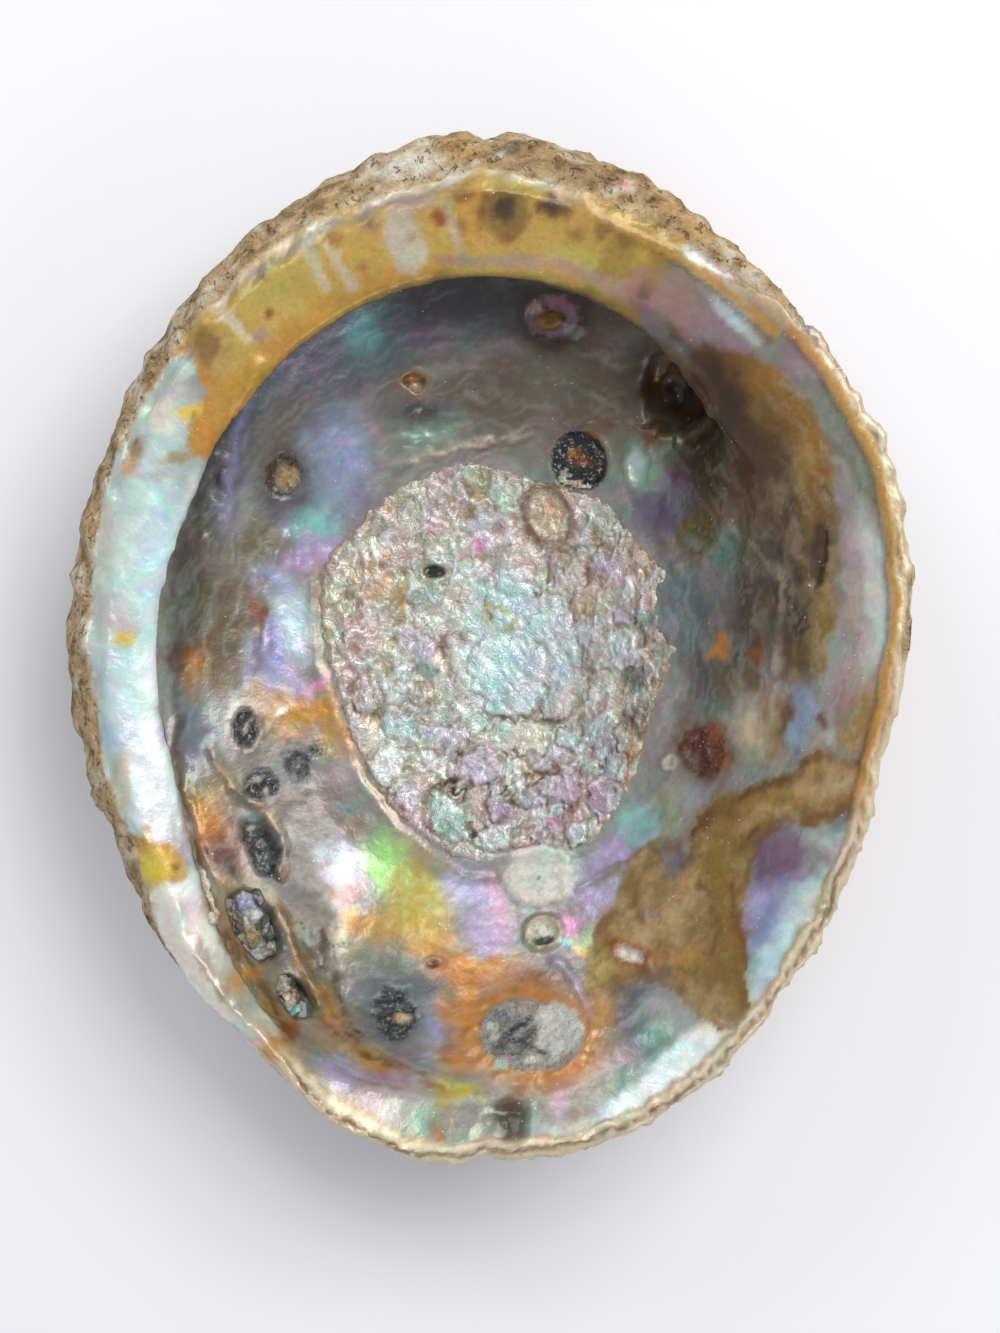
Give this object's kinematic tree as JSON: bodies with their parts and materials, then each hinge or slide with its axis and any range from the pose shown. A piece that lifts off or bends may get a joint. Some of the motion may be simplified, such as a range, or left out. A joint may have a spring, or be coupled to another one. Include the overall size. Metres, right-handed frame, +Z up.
{
  "type": "abalone shell",
  "caption": "Large abalone shell lying on its back, with an open nacre bowl, a broad inner shelf, a rough muscle scar, see-through pores and a crusted outside.",
  "frame": {"origin": "middle of the shell's bounding box in plan, at the plane it rests on", "axes": "+Z up out of the open bowl; +Y to the spire end, away from the notched front end; +X to the thin flaring lip, away from the row of pores"},
  "size_m": [0.1716, 0.2094, 0.0566],
  "materials": {
    "shell": "glossy iridescent nacre inside, matt sandy crust outside"
  },
  "bodies": {
    "root": {"abalone_shell": "shell"}
  },
  "joints": []
}
